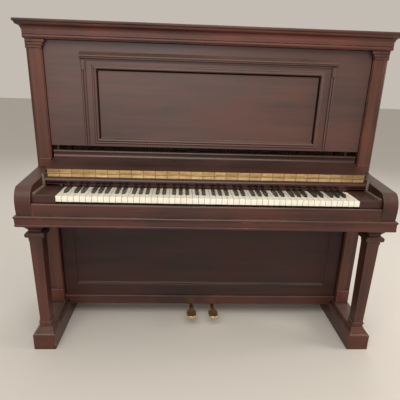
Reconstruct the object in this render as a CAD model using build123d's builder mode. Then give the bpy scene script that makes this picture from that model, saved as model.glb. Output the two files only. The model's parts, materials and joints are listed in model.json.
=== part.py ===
"""Upright piano in millimetres.

X runs from bass to treble, Y from the player into the case, Z up. The origin is on the floor, at the
middle of the piano's width and depth. Heights are written from the floor. Depths are written from
keys_y, the line of the white keys' front ends.
"""

import math
import os

from build123d import *

os.makedirs("parts", exist_ok=True)

# ---------------------------------------------------------------- driving dimensions
overall_width = 1585.0  # over the lid
overall_height = 1390.0  # to the top of the lid hinge
overall_depth = 712.0  # from the keybed moulding to the back posts
case_width = 1529.0  # over the two sides
side_thickness = 22.0
white_key_pitch = 23.5
white_key_count = 52
key_top = 735.5  # height of the white keys

front_y = -overall_depth / 2
back_y = overall_depth / 2
keys_y = front_y + 24.0
side_x = case_width / 2
inside_x = side_x - side_thickness
side_front_y = keys_y + 293.0
panel_y = keys_y + 303.0  # front plane of the upper panel
toe_height = 80.0
case_bottom = 106.0
keybed_top = 656.0
keybed_thickness = 40.0
keybed_bottom = keybed_top - keybed_thickness
panel_bottom = 885.0
frieze_bottom = 1316.0
case_top = 1375.0  # top of the cornice and the sides, where the lid rests
lid_thickness = 12.0
lid_top = case_top + lid_thickness
keyboard_half = white_key_pitch * white_key_count / 2
arm_inner_x = 703.0
pilaster_inner_x = 697.0

# the two long hinges share one pattern
hinge_length = 1360.0
knuckle_count = 27
knuckle_gap = 0.6
knuckle_radius = 2.8
hinge_bore = 1.6
hinge_pin = 1.1
leaf_thickness = 1.2
leaf_start = 3.3  # clear of the other leaf's knuckles
leaf_reach = 16.0

# fallboard
fall_axis_y = keys_y + 151.0
fall_axis_z = 795.0
fall_slope = 9.5  # degrees that the open board leans back
fall_half = 688.0
fall_thickness = 16.0
fall_length = 170.0
lip_thickness = 14.0
lip_height = 46.0
lip_cove = 15.0

# lid hinge
lid_axis_y = keys_y + 470.0
lid_axis_z = overall_height - knuckle_radius

# action and stringing
semitone = white_key_pitch * 7 / 12
octave = white_key_pitch * 7
note_count = 88
first_lane_x = -keyboard_half - 5 * white_key_pitch + 9 * semitone
string_y = keys_y + 540.0
bass_count = 28
key_pivot_y = keys_y + 225.0
key_rear_y = keys_y + 400.0


def save(piece, name):
    """Labels a finished piece and writes its file."""
    piece.part.label = name
    export_step(piece.part, f"parts/{name}.step")


def block(x, y, z, mode=Mode.ADD):
    """Adds a box between the low and high ends of x, y and z to the piece being built."""
    with Locations(((x[0] + x[1]) / 2, (y[0] + y[1]) / 2, (z[0] + z[1]) / 2)):
        Box(abs(x[1] - x[0]), abs(y[1] - y[0]), abs(z[1] - z[0]), mode=mode)


def rounded_block(x, y, z, rounding):
    """Adds a box like block does, with the edges of its front face rounded."""
    with BuildPart(mode=Mode.PRIVATE) as piece:
        block(x, y, z)
        if rounding:
            fillet(piece.edges().group_by(Axis.Y)[0], rounding)
    add(piece.part)


def depth(*distances):
    """Depths behind the white keys' front ends, as Y positions."""
    return tuple(keys_y + distance for distance in distances)


def both_sides(x):
    """The low and high ends of a stretch of X on the treble side and on the bass side."""
    return (x, (-x[1], -x[0]))


def lane_x(note):
    """X of the middle of a note's lane. The lowest note is 0."""
    return first_lane_x + (note + 0.5) * semitone


# ---------------------------------------------------------------- case
arm_top_rear = 790.0
side_round = 12.0  # rounding of a side's outer front edge
side_round_z = (arm_top_rear + 2, 1280.0)  # it runs from the arm to the cornice

with BuildPart() as right_side:
    block((inside_x, side_x), (side_front_y, back_y), (case_bottom, case_top))
    with BuildSketch(Plane.XY.offset(side_round_z[0])) as outer_corner:
        with Locations((side_x, side_front_y)):
            Rectangle(2 * side_round, 2 * side_round)
        with Locations((side_x - side_round, side_front_y + side_round)):
            Circle(side_round, mode=Mode.SUBTRACT)
    extrude(outer_corner.sketch, amount=side_round_z[1] - side_round_z[0], mode=Mode.SUBTRACT)
save(right_side, "right_side")

with BuildPart() as left_side:
    add(mirror(right_side.part, about=Plane.YZ))
save(left_side, "left_side")

arm_top_front = 770.0
arm_nose_y = keys_y - 20.0

with BuildPart() as arms:
    for x in both_sides((arm_inner_x, side_x)):
        with BuildSketch(Plane.YZ.offset(x[0])):
            with BuildLine():
                Line((keys_y - 16, keybed_top), (side_front_y, keybed_top))
                Line((side_front_y, keybed_top), (side_front_y, arm_top_rear))
                Line((side_front_y, arm_top_rear), (keys_y + 24, arm_top_front))
                Spline(
                    (keys_y + 24, arm_top_front),
                    (keys_y - 5, 751),
                    (arm_nose_y + 1.5, 720),
                    (arm_nose_y, 696),
                    (keys_y - 16, keybed_top),
                )
            make_face()
        extrude(amount=x[1] - x[0])
    top_edges = arms.edges().filter_by(lambda edge: abs(edge.tangent_at(0.5).X) < 0.01)
    top_edges = top_edges.filter_by(lambda edge: edge.center().Z > keybed_top + 10)
    top_edges = top_edges.filter_by(lambda edge: edge.length > arm_top_rear - keybed_top + 1)
    fillet(top_edges, 2.5)
save(arms, "arms")

with BuildPart() as back_posts:
    for post_x in (-640, -384, -128, 128, 384, 640):
        block((post_x - 38, post_x + 38), depth(600, 688), (220, 1260))
save(back_posts, "back_posts")

with BuildPart() as back_beams:
    block((-inside_x, inside_x), depth(600, 688), (1260, 1370))
    block((-inside_x, inside_x), depth(581, 688), (110, 220))
    block((-inside_x, inside_x), depth(581, 600), (1120, 1185))
save(back_beams, "back_beams")

soundboard_half = 735.0

with BuildPart() as soundboard:
    block((-soundboard_half, soundboard_half), depth(572, 581), (150, 1180))
save(soundboard, "soundboard")

rib_count = 9
rib_low = 226.0
rib_high = 1114.0
rib_lean = 40.0  # degrees from upright
rib_reach = (rib_high - rib_low) / math.cos(math.radians(rib_lean))

with BuildPart() as soundboard_ribs:
    for index in range(rib_count):
        rib_x = -soundboard_half + 2 * soundboard_half * (index + 0.5) / rib_count
        with BuildSketch(Plane.XZ.offset(-(keys_y + 599))) as rib_outline:
            with Locations(Location((rib_x, (rib_low + rib_high) / 2), -rib_lean)):
                Rectangle(24, rib_reach * 1.1)
            with Locations((0, (rib_low + rib_high) / 2)):
                Rectangle(2 * inside_x - 12, rib_high - rib_low, mode=Mode.INTERSECT)
        extrude(rib_outline.sketch, amount=18)
save(soundboard_ribs, "soundboard_ribs")

with BuildPart() as pin_block:
    block((-soundboard_half, soundboard_half), depth(556, 600), (1217, 1345))
save(pin_block, "pin_block")

plate_half = 732.0
plate_low = 150.0
plate_high = 1215.0
opening_count = 8
opening_width = 152.0
opening_low = 330.0
opening_high = 1100.0
strut_width = (2 * plate_half - opening_count * opening_width) / (opening_count + 1)
opening_pitch = opening_width + strut_width


def opening_x(index):
    """X of the middle of an opening in the iron plate."""
    return (index - (opening_count - 1) / 2) * opening_pitch


with BuildPart() as iron_plate:
    block((-plate_half, plate_half), depth(546, 556), (plate_low, plate_high))
    with BuildSketch(Plane.XZ.offset(-(keys_y + 560))):
        with Locations(*[(opening_x(i), (opening_low + opening_high) / 2) for i in range(opening_count)]):
            RectangleRounded(opening_width, opening_high - opening_low, 30)
    extrude(amount=20, mode=Mode.SUBTRACT)
save(iron_plate, "iron_plate")


def treble_bridge_z(x):
    """Height of the treble bridge, which climbs towards the top notes."""
    share = min(max((x + soundboard_half) / (2 * soundboard_half), 0), 1)
    return 470 + 570 * share**1.5


bridge_half = opening_width / 2 - 8
bass_bridge_z = 372.0

with BuildPart() as bridges:
    for index in range(opening_count):
        low_x = opening_x(index) - bridge_half
        high_x = opening_x(index) + bridge_half
        with BuildSketch(Plane.XZ.offset(-(keys_y + 572))) as bridge_outline:
            with BuildLine():
                Polyline(
                    (low_x, treble_bridge_z(low_x) - 14),
                    (high_x, treble_bridge_z(high_x) - 14),
                    (high_x, treble_bridge_z(high_x) + 14),
                    (low_x, treble_bridge_z(low_x) + 14),
                    close=True,
                )
            make_face()
            if 3 <= index <= 5:
                with Locations((opening_x(index), bass_bridge_z)):
                    Rectangle(2 * bridge_half, 26)
        extrude(bridge_outline.sketch, amount=30)
save(bridges, "bridges")


def courses():
    """Each string's note, place in its course and height of its tuning pin."""
    for note in range(note_count):
        strings_here = 1 if note < 8 else 2 if note < 26 else 3
        for place in range(strings_here):
            offset = (place - (strings_here - 1) / 2) * semitone / 3
            pin_z = 1242 + 26 * place + 8 * (note % 2)
            yield note, lane_x(note) + offset, pin_z


pin_radius = 3.4
with BuildPart() as tuning_pins:
    with BuildSketch(Plane.XZ.offset(-(keys_y + 590))) as pin_field:
        for note, pin_x, pin_z in courses():
            with Locations((pin_x, pin_z)):
                RegularPolygon(pin_radius, 8)
    extrude(pin_field.sketch, amount=62)
save(tuning_pins, "tuning_pins")


def string_run(top, foot, width):
    """Adds the thin outline of one string between its top and its foot to the sketch being built."""
    length = math.dist(top, foot)
    turn = math.degrees(math.atan2(foot[1] - top[1], foot[0] - top[0]))
    with Locations(Location(((top[0] + foot[0]) / 2, (top[1] + foot[1]) / 2), turn)):
        Rectangle(length, width)


treble_lean = 0.12
bass_shift = 400.0

with BuildPart() as strings:
    with BuildSketch(Plane.XZ.offset(-(string_y + 1))) as treble_strings:
        for note, pin_x, pin_z in courses():
            if note >= bass_count:
                foot_z = treble_bridge_z(pin_x) - 90
                foot_x = pin_x - treble_lean * (pin_z - foot_z)
                string_run((pin_x, pin_z - 5), (foot_x, foot_z), 1)
    extrude(treble_strings.sketch, amount=1)
    with BuildSketch(Plane.XZ.offset(-(string_y - 4))) as bass_strings:
        for note, pin_x, pin_z in courses():
            if note < bass_count:
                foot_z = 300 + 2 * note
                string_run((pin_x, pin_z - 5), (pin_x * 0.8 + bass_shift, foot_z), 2.6)
    extrude(bass_strings.sketch, amount=2.6)
save(strings, "strings")

with BuildPart() as bottom_board:
    block((-678, 678), depth(336, 581), (84, 104))
save(bottom_board, "bottom_board")

rail_front = keys_y + 304.0
with BuildPart() as bottom_rail:
    block((-inside_x, inside_x), (rail_front + 4, rail_front + 30), (case_bottom, 120))
    block((-678, 678), (rail_front + 4, rail_front + 30), (84, case_bottom))
    block((-inside_x, inside_x), (rail_front, rail_front + 30), (120, 132))
    fillet(bottom_rail.edges().filter_by(Axis.X).group_by(Axis.Y)[0].group_by(Axis.Z)[-1], 4)
save(bottom_rail, "bottom_rail")

toe_x = (679.0, 776.0)
with BuildPart() as toe_blocks:
    for x in both_sides(toe_x):
        block(x, depth(30, 688), (0, toe_height))
    chamfer(toe_blocks.edges().group_by(Axis.Z)[-1], 5)
    for x in both_sides((690.0, 770.0)):
        block(x, depth(112, 688), (toe_height - 1, case_bottom))
    fillet(toe_blocks.edges().group_by(Axis.Z)[-1], 6)
save(toe_blocks, "toe_blocks")

# ---------------------------------------------------------------- front legs
leg_x = 721.5
leg_y = keys_y + 79.0


def leg_block(x, z, width, length, rounding):
    """Adds one square block of a leg, centred on it, with its four long rims rounded."""
    with BuildPart(Plane((x, leg_y, z[0])), mode=Mode.PRIVATE) as piece:
        Box(width, length, z[1] - z[0], align=(Align.CENTER, Align.CENTER, Align.MIN))
        if rounding:
            rims = piece.edges().group_by(Axis.Z)[0] + piece.edges().group_by(Axis.Z)[-1]
            fillet(rims, rounding)
    add(piece.part)


with BuildPart() as front_legs:
    for x in (-leg_x, leg_x):
        foot_x = math.copysign((toe_x[0] + toe_x[1]) / 2, x)
        with BuildSketch(Plane((foot_x, leg_y - 7, toe_height))) as slope_foot:
            Rectangle(toe_x[1] - toe_x[0] - 10, 74)
        with BuildSketch(Plane((x, leg_y, 106))) as slope_top:
            Rectangle(58, 64)
        loft([slope_foot.sketch, slope_top.sketch])
        leg_block(x, (105, 109), 58, 64, 0)
        leg_block(x, (108, 128), 48, 56, 0)
        leg_block(x, (127, 134), 54, 62, 2)
        with BuildSketch(Plane((x, leg_y, 130))) as shaft_foot:
            Rectangle(42, 58)
        with BuildSketch(Plane((x, leg_y, 530))) as shaft_top:
            Rectangle(53, 66)
        loft([shaft_foot.sketch, shaft_top.sketch])
        leg_block(x, (528, 543), 57, 70, 2)
        leg_block(x, (542, 567), 80, 92, 11)
        leg_block(x, (566, 577), 52, 64, 0)
        with BuildSketch(Plane((x, leg_y, 576))) as neck:
            Rectangle(52, 64)
        with BuildSketch(Plane((x, leg_y, 592))) as neck_flare:
            Rectangle(80, 90)
        loft([neck.sketch, neck_flare.sketch])
        leg_block(x, (591, keybed_bottom), 84, 96, 3)
save(front_legs, "front_legs")

# ---------------------------------------------------------------- keybed and its surroundings
moulding_thickness = 12.0
keybed_front = front_y + moulding_thickness

with BuildPart() as keybed:
    block((-side_x, side_x), (keybed_front, side_front_y), (keybed_bottom, keybed_top))
    block((-inside_x, inside_x), (side_front_y, keys_y + 384), (keybed_bottom, keybed_top))
save(keybed, "keybed")

with BuildPart() as keybed_moulding:
    with BuildLine() as moulding_path:
        Polyline(
            (-side_x, side_front_y, keybed_top),
            (-side_x, keybed_front, keybed_top),
            (side_x, keybed_front, keybed_top),
            (side_x, side_front_y, keybed_top),
        )
    with BuildSketch(Plane((-side_x, side_front_y, keybed_top), x_dir=(-1, 0, 0), z_dir=(0, 1, 0))):
        with BuildLine():
            Line((0, 0), (8, 0))
            ThreePointArc((8, 0), (moulding_thickness, -5), (9, -12))
            Line((9, -12), (9, -36))
            ThreePointArc((9, -36), (10, -42), (5, -46))
            Line((5, -46), (0, -46))
            Line((0, -46), (0, 0))
        make_face()
    sweep(path=moulding_path.line, transition=Transition.RIGHT)
save(keybed_moulding, "keybed_moulding")

slip_top = 706.0
with BuildPart() as key_slip:
    with BuildSketch(Plane.YZ.offset(-arm_inner_x + 1)):
        with BuildLine():
            Line((keys_y - 5, keybed_top), (keys_y - 5, slip_top - 3))
            ThreePointArc((keys_y - 5, slip_top - 3), (keys_y - 10, slip_top), (keys_y - 15, slip_top - 5))
            Line((keys_y - 15, slip_top - 5), (keys_y - 16, slip_top - 8))
            Line((keys_y - 16, slip_top - 8), (keys_y - 16, keybed_top))
            Line((keys_y - 16, keybed_top), (keys_y - 5, keybed_top))
        make_face()
    extrude(amount=2 * arm_inner_x - 2)
save(key_slip, "key_slip")

key_block_top = key_top + 3.5
corner_strip_x = (691.0, arm_inner_x - 1)  # strip along each arm, over the key block and up the nameboard
corner_strip_top = 745.0

with BuildPart() as key_blocks:
    for x in both_sides((keyboard_half + 1.5, arm_inner_x - 1)):
        block(x, depth(-2, 153), (keybed_top, key_block_top))
    fillet(key_blocks.edges().filter_by(Axis.X).group_by(Axis.Z)[-1].group_by(Axis.Y)[0], 3)
    for x in both_sides(corner_strip_x):
        block(x, depth(8, 153), (key_block_top - 1, corner_strip_top))
save(key_blocks, "key_blocks")

with BuildPart() as key_frame:
    block((-keyboard_half, keyboard_half), depth(12, 60), (keybed_top, 694))
    block((-keyboard_half, keyboard_half), depth(205, 245), (keybed_top, 708))
    block((-keyboard_half, keyboard_half), depth(345, 382), (keybed_top, 708))
save(key_frame, "key_frame")

fall_lean = math.radians(fall_slope)
fall_along = (0, math.cos(fall_lean), math.sin(fall_lean))
fall_up = (0, -math.sin(fall_lean), math.cos(fall_lean))
fall_axis = (fall_axis_y, fall_axis_z)

# board that the open fallboard rests above, and that covers the keys' rear halves when it is closed
back_board = (8.0, 165.0)  # along the fallboard, from the hinge
back_board_thickness = 10.0
back_board_gap = 3.0

nameboard_face = fall_axis_y + 3.0
nameboard_top = fall_axis_z - 3.0
nameboard_bottom = 745.5
with BuildPart() as nameboard:
    with BuildSketch(Plane.YZ.offset(-arm_inner_x + 1)):
        with BuildLine():
            Line((nameboard_face + 18, nameboard_bottom), (nameboard_face + 18, nameboard_top))
            Line((nameboard_face + 18, nameboard_top), (nameboard_face, nameboard_top))
            Line((nameboard_face, nameboard_top), (nameboard_face, 775))
            ThreePointArc((nameboard_face, 775), (nameboard_face - 9, 763), (nameboard_face - 1, 751))
            Line((nameboard_face - 1, 751), (nameboard_face - 1, nameboard_bottom))
            Line((nameboard_face - 1, nameboard_bottom), (nameboard_face + 18, nameboard_bottom))
        make_face()
    extrude(amount=2 * arm_inner_x - 2)
    for x in both_sides(corner_strip_x):
        block(x, (nameboard_face - 10, nameboard_face), (nameboard_bottom, nameboard_top))
    with BuildSketch(Plane((-fall_half, *fall_axis), x_dir=fall_along, z_dir=(1, 0, 0))) as board_section:
        with Locations(((back_board[0] + back_board[1]) / 2, -back_board_gap - back_board_thickness / 2)):
            Rectangle(back_board[1] - back_board[0], back_board_thickness)
    extrude(board_section.sketch, amount=2 * fall_half)
save(nameboard, "nameboard")

with BuildPart() as nameboard_felt:
    block((-keyboard_half, keyboard_half), (nameboard_face - 3, nameboard_face + 4), (738, nameboard_bottom))
    chamfer(nameboard_felt.edges().filter_by(Axis.X).group_by(Axis.Y)[0].group_by(Axis.Z)[0], 2)
save(nameboard_felt, "nameboard_felt")

# ---------------------------------------------------------------- keys
# each white key: its place in the octave in white keys, and the stretch its tail fills in semitones
white_tails = {
    "c": (0, 0, 1),
    "d": (1, 2, 3),
    "e": (2, 4, 3 * 12 / 7),
    "f": (3, 3 * 12 / 7, 6),
    "g": (4, 7, 8),
    "a": (5, 9, 10),
    "b": (6, 11, 12),
}
black_lanes = {"c_sharp": 1, "d_sharp": 3, "f_sharp": 6, "g_sharp": 8, "a_sharp": 10}
lowest_octave_x = -keyboard_half - 5 * white_key_pitch
key_thickness = 23.0
key_z = (key_top - key_thickness, key_top)
head_length = 50.0
visible_length = 148.0
head_gap = 0.45  # on each side of a white key's head
tail_gap = 0.6
sharp_height = 12.0
capstan_y = keys_y + 392.0
capstan_top = 766.0


def octaves(name):
    """X of the left end of each octave that has a key of this name."""
    first = 0 if name in ("a", "a_sharp", "b") else 1
    last = 8 if name == "c" else 7
    return [lowest_octave_x + index * octave for index in range(first, last + 1)]


for name, (place, tail_from, tail_to) in white_tails.items():
    head_x = (place * white_key_pitch + head_gap, (place + 1) * white_key_pitch - head_gap)
    tail_x = (tail_from * semitone + tail_gap, tail_to * semitone - tail_gap)
    with BuildPart(mode=Mode.PRIVATE) as white_key:
        block(head_x, depth(0, head_length), key_z)
        chamfer(white_key.edges().group_by(Axis.Z)[-1].group_by(Axis.Y)[0], 1)
        block(tail_x, (keys_y + head_length - 1, key_rear_y), key_z)
        middle = (tail_x[0] + tail_x[1]) / 2
        block((middle - 3, middle + 3), (capstan_y - 3, capstan_y + 3), (key_top - 1, capstan_top))
    with BuildPart() as keys:
        with Locations(*[(x, 0, 0) for x in octaves(name)]):
            add(white_key.part)
        if name == "a":
            edge = -keyboard_half + head_gap
            block((edge, edge + 8), depth(head_length - 1, visible_length), key_z)
        if name == "c":
            edge = keyboard_half - head_gap
            block((edge - 12, edge), depth(head_length - 1, visible_length), key_z)
    save(keys, f"keys_{name}")

for name, lane in black_lanes.items():
    stick_x = (lane * semitone + tail_gap, (lane + 1) * semitone - tail_gap)
    middle = (stick_x[0] + stick_x[1]) / 2
    with BuildPart(mode=Mode.PRIVATE) as black_key:
        block(stick_x, (keys_y + head_length + 2, key_rear_y), (key_top - key_thickness, key_top - 2))
        sharp_middle_y = keys_y + (head_length + 2 + visible_length) / 2
        with BuildSketch(Plane((middle, sharp_middle_y, key_top - 2))) as sharp_foot:
            Rectangle(stick_x[1] - stick_x[0], visible_length - head_length - 2)
        with BuildSketch(
            Plane((middle, keys_y + (head_length + 7 + visible_length) / 2, key_top + sharp_height))
        ) as sharp_top:
            Rectangle(9.6, visible_length - head_length - 7)
        loft([sharp_foot.sketch, sharp_top.sketch])
        block((middle - 3, middle + 3), (capstan_y - 3, capstan_y + 3), (key_top - 3, capstan_top))
    with BuildPart() as keys:
        with Locations(*[(x, 0, 0) for x in octaves(name)]):
            add(black_key.part)
    save(keys, f"keys_{name}")

# ---------------------------------------------------------------- long hinges


def hinge_leaf(axis, leaf_direction, flat_side, offset, first_knuckle, with_pin):
    """Half of a continuous hinge.

    The leaf lies away from the axis along leaf_direction, offset to its flat side, and carries every
    second knuckle, bored for the pin. The fixed half holds the pin.
    """
    pitch = hinge_length / knuckle_count
    face = sorted((flat_side * offset, flat_side * (offset + leaf_thickness)))
    start = Plane((-hinge_length / 2, *axis), x_dir=leaf_direction, z_dir=(1, 0, 0))
    with BuildPart() as leaf:
        with BuildSketch(start) as flat:
            with Locations(((leaf_start + leaf_reach) / 2, (face[0] + face[1]) / 2)):
                Rectangle(leaf_reach - leaf_start, leaf_thickness)
        extrude(flat.sketch, amount=hinge_length)
        for index in range(first_knuckle, knuckle_count, 2):
            with BuildSketch(start.offset(index * pitch + knuckle_gap / 2)) as knuckle:
                Circle(knuckle_radius)
                with Locations(((leaf_start + 0.2) / 2, (face[0] + face[1]) / 2)):
                    Rectangle(leaf_start + 0.2, leaf_thickness)
                Circle(hinge_bore, mode=Mode.SUBTRACT)
            extrude(knuckle.sketch, amount=pitch - knuckle_gap)
        if with_pin:
            with BuildSketch(start) as pin:
                Circle(hinge_pin)
            extrude(pin.sketch, amount=hinge_length)
    return leaf


fixed_offset = nameboard_face - fall_axis_y - leaf_thickness
moving_offset = 1.0

fallboard_hinge_fixed = hinge_leaf(fall_axis, (0, 0, -1), 1, fixed_offset, 0, True)
save(fallboard_hinge_fixed, "fallboard_hinge_fixed")

fallboard_hinge_leaf = hinge_leaf(fall_axis, fall_up, -1, moving_offset, 1, False)
save(fallboard_hinge_leaf, "fallboard_hinge_leaf")

# ---------------------------------------------------------------- fallboard
with BuildPart() as fallboard:
    with BuildSketch(Plane((-fall_half, *fall_axis), x_dir=fall_along, z_dir=(1, 0, 0))):
        with BuildLine():
            board_start = moving_offset + leaf_thickness
            knuckle_relief = knuckle_radius + 0.4
            lip_inner = fall_length - lip_thickness
            lip_round = lip_thickness / 2
            Line((board_start, knuckle_relief), (board_start + 2.5, 0))
            Line((board_start + 2.5, 0), (fall_length, 0))
            Line((fall_length, 0), (fall_length, lip_height - lip_round))
            ThreePointArc(
                (fall_length, lip_height - lip_round),
                (fall_length - lip_round, lip_height),
                (lip_inner, lip_height - lip_round),
            )
            Line((lip_inner, lip_height - lip_round), (lip_inner, fall_thickness + lip_cove))
            ThreePointArc(
                (lip_inner, fall_thickness + lip_cove),
                (lip_inner - 0.293 * lip_cove, fall_thickness + 0.293 * lip_cove),
                (lip_inner - lip_cove, fall_thickness),
            )
            Line((lip_inner - lip_cove, fall_thickness), (board_start, fall_thickness))
            Line((board_start, fall_thickness), (board_start, knuckle_relief))
        make_face()
    extrude(amount=2 * fall_half)
save(fallboard, "fallboard")

# ---------------------------------------------------------------- upper front
recess = (482.0, 918.0, 1209.0)  # half width, bottom and top of the sunk field
recess_depth = 10.0
recess_slope = 6.0
panel_thickness = 22.0
panel_half = pilaster_inner_x - 1

with BuildPart() as upper_panel:
    block((-panel_half, panel_half), (panel_y, panel_y + panel_thickness), (panel_bottom, frieze_bottom))
    lower_front_edge = upper_panel.edges().filter_by(Axis.X).group_by(Axis.Y)[0].sort_by(Axis.Z)[0]
    fillet(lower_front_edge, 3)
    recess_middle = (recess[1] + recess[2]) / 2
    facing = {"x_dir": (1, 0, 0), "z_dir": (0, -1, 0)}
    with BuildSketch(Plane((0, panel_y, recess_middle), **facing)) as recess_rim:
        Rectangle(2 * recess[0], recess[2] - recess[1])
    with BuildSketch(Plane((0, panel_y + recess_depth, recess_middle), **facing)) as recess_floor:
        Rectangle(2 * recess[0] - 2 * recess_slope, recess[2] - recess[1] - 2 * recess_slope)
    loft([recess_rim.sketch, recess_floor.sketch], mode=Mode.SUBTRACT)
save(upper_panel, "upper_panel")

strip_x = (529.0, 541.0)
strip_projection = 8.0
hood_half = 548.0
hood_z = (1243.0, 1276.0)

with BuildPart() as panel_mouldings:
    with BuildLine() as bead_path:
        Polyline(
            (-recess[0], panel_y, recess[1]),
            (recess[0], panel_y, recess[1]),
            (recess[0], panel_y, recess[2]),
            (-recess[0], panel_y, recess[2]),
            close=True,
        )
    with BuildSketch(Plane((0, panel_y, recess[1]), x_dir=(0, -1, 0), z_dir=(1, 0, 0))):
        with BuildLine():
            Line((0, 0), (4, 0))
            ThreePointArc((4, 0), (7, 5), (4, 10))
            Line((4, 10), (3, 12))
            ThreePointArc((3, 12), (3, 18), (0, 20))
            Line((0, 20), (0, 0))
        make_face()
    sweep(path=bead_path.line, transition=Transition.RIGHT)
    for x in both_sides(strip_x):
        with BuildSketch(Plane((x[0], panel_y, 896), z_dir=(0, 0, 1))) as strip:
            with BuildLine():
                Line((0, 0), (12, 0))
                ThreePointArc((12, 0), (9.5, -strip_projection), (7, -3))
                Line((7, -3), (5, -3))
                ThreePointArc((5, -3), (2.5, -strip_projection), (0, 0))
            make_face()
        extrude(strip.sketch, amount=hood_z[0] - 896)
        rounded_block((x[0] - 1, x[1] + 1), (panel_y - 12, panel_y), (hood_z[0] - 38, hood_z[0] + 1), 2)
    with BuildSketch(Plane((hood_half, panel_y, hood_z[0]), x_dir=(0, -1, 0), z_dir=(-1, 0, 0))) as hood:
        with BuildLine():
            Line((0, 0), (6, 0))
            ThreePointArc((6, 0), (9, 6), (14, 8))
            Line((14, 8), (14, 11))
            ThreePointArc((14, 11), (18, 15), (16, 20))
            Line((16, 20), (0, hood_z[1] - hood_z[0]))
            Line((0, hood_z[1] - hood_z[0]), (0, 0))
        make_face()
    extrude(hood.sketch, amount=2 * hood_half)
save(panel_mouldings, "panel_mouldings")

pilaster_blocks = (  # stretch of X on the treble side, depth, height and rounding of the front edges
    ((pilaster_inner_x, inside_x - 0.5), (293, 328), (arm_top_rear + 1, frieze_bottom), 0),
    ((700, 748), (286, 293), (arm_top_rear + 1, 1283), 2),
    ((698, 750), (283, 293), (arm_top_rear + 1, 830), 2),
    ((696, 752), (281, 293), (1282, 1292), 3),
    ((690, 756), (277, 293), (1292, 1304), 4),
    ((682, 758), (274, 293), (1304, 1315), 2),
    ((pilaster_inner_x, inside_x - 0.5), (293, 328), (case_bottom + 27, keybed_bottom), 0),
    ((699, 729), (285, 293), (170, keybed_bottom), 2),
    ((697, 761), (281, 293), (case_bottom + 1, 176), 3),
)

with BuildPart() as pilasters:
    for mirror_x in (1, -1):
        for stretch_x, stretch_y, stretch_z, rounding in pilaster_blocks:
            rounded_block(sorted(mirror_x * x for x in stretch_x), depth(*stretch_y), stretch_z, rounding)
save(pilasters, "pilasters")

frieze_y = keys_y + 273.0
with BuildPart() as cornice:
    block((-inside_x, inside_x), (frieze_y, keys_y + 325), (frieze_bottom + 1, case_top))
    block((-side_x, side_x), (frieze_y, side_front_y), (frieze_bottom + 1, case_top))
    with BuildLine() as cornice_path:
        Polyline(
            (-side_x, back_y, frieze_bottom),
            (-side_x, frieze_y, frieze_bottom),
            (side_x, frieze_y, frieze_bottom),
            (side_x, back_y, frieze_bottom),
        )
    cornice_start = Plane((-side_x, back_y, frieze_bottom), x_dir=(-1, 0, 0), z_dir=(0, 1, 0))
    with BuildSketch(cornice_start):
        with BuildLine():
            Line((0, 34), (3, 34))
            Line((3, 34), (4, 38))
            ThreePointArc((4, 38), (7, 44), (13, 48))
            ThreePointArc((13, 48), (19, 51), (22, 57))
            Line((22, 57), (22, case_top - frieze_bottom))
            Line((22, case_top - frieze_bottom), (0, case_top - frieze_bottom))
            Line((0, case_top - frieze_bottom), (0, 34))
        make_face()
    sweep(path=cornice_path.line, transition=Transition.RIGHT)
    with BuildSketch(Plane((side_x, frieze_y, frieze_bottom), x_dir=(0, -1, 0), z_dir=(-1, 0, 0))) as bands:
        with BuildLine():
            Line((0, 3), (2, 3))
            ThreePointArc((2, 3), (7, 9), (2, 15))
            Line((2, 15), (5, 17))
            Line((5, 17), (5, 31))
            Line((5, 31), (3, 34.5))
            Line((3, 34.5), (0, 34.5))
            Line((0, 34.5), (0, 3))
        make_face()
    extrude(bands.sketch, amount=2 * side_x)
save(cornice, "cornice")

# ---------------------------------------------------------------- lid
lid_half = overall_width / 2
lid_front_y = keys_y + 245.0
lid_gap = knuckle_radius + 0.6
rebate = (leaf_reach + 0.5, leaf_thickness + lid_top - lid_axis_z + 0.2)
lid_offset = lid_axis_z - lid_top + 0.2

with BuildPart() as lid_front:
    block((-lid_half, lid_half), (lid_front_y, lid_axis_y - lid_gap), (case_top, lid_top))
    outer_rims = lid_front.edges().filter_by(lambda edge: abs(edge.center().Y - lid_axis_y) > 10)
    fillet(outer_rims.filter_by(lambda edge: abs(edge.tangent_at(0.5).Z) < 0.1), 5)
    block(
        (-hinge_length / 2 - 1, hinge_length / 2 + 1),
        (lid_axis_y - leaf_reach - 0.5, lid_axis_y),
        (lid_axis_z - lid_offset - leaf_thickness - 0.1, lid_top + 1),
        mode=Mode.SUBTRACT,
    )
save(lid_front, "lid_front")

with BuildPart() as lid_rear:
    block((-lid_half, lid_half), (lid_axis_y + lid_gap, back_y), (case_top, lid_top))
    outer_rims = lid_rear.edges().filter_by(lambda edge: abs(edge.center().X) > lid_half - 1)
    fillet(outer_rims.filter_by(Axis.Y), 5)
    block(
        (-hinge_length / 2 - 1, hinge_length / 2 + 1),
        (lid_axis_y, lid_axis_y + leaf_reach + 0.5),
        (lid_axis_z - lid_offset - leaf_thickness, lid_top + 1),
        mode=Mode.SUBTRACT,
    )
save(lid_rear, "lid_rear")

lid_hinge_fixed = hinge_leaf((lid_axis_y, lid_axis_z), (0, 1, 0), -1, lid_offset, 0, True)
save(lid_hinge_fixed, "lid_hinge_fixed")

lid_hinge_leaf = hinge_leaf((lid_axis_y, lid_axis_z), (0, -1, 0), 1, lid_offset, 1, False)
save(lid_hinge_leaf, "lid_hinge_leaf")

# ---------------------------------------------------------------- lower front
knee_half = pilaster_inner_x - 4
knee_front_y = keys_y + 312.0
knee_bottom = 134.0
knee_top = 611.0

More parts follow.
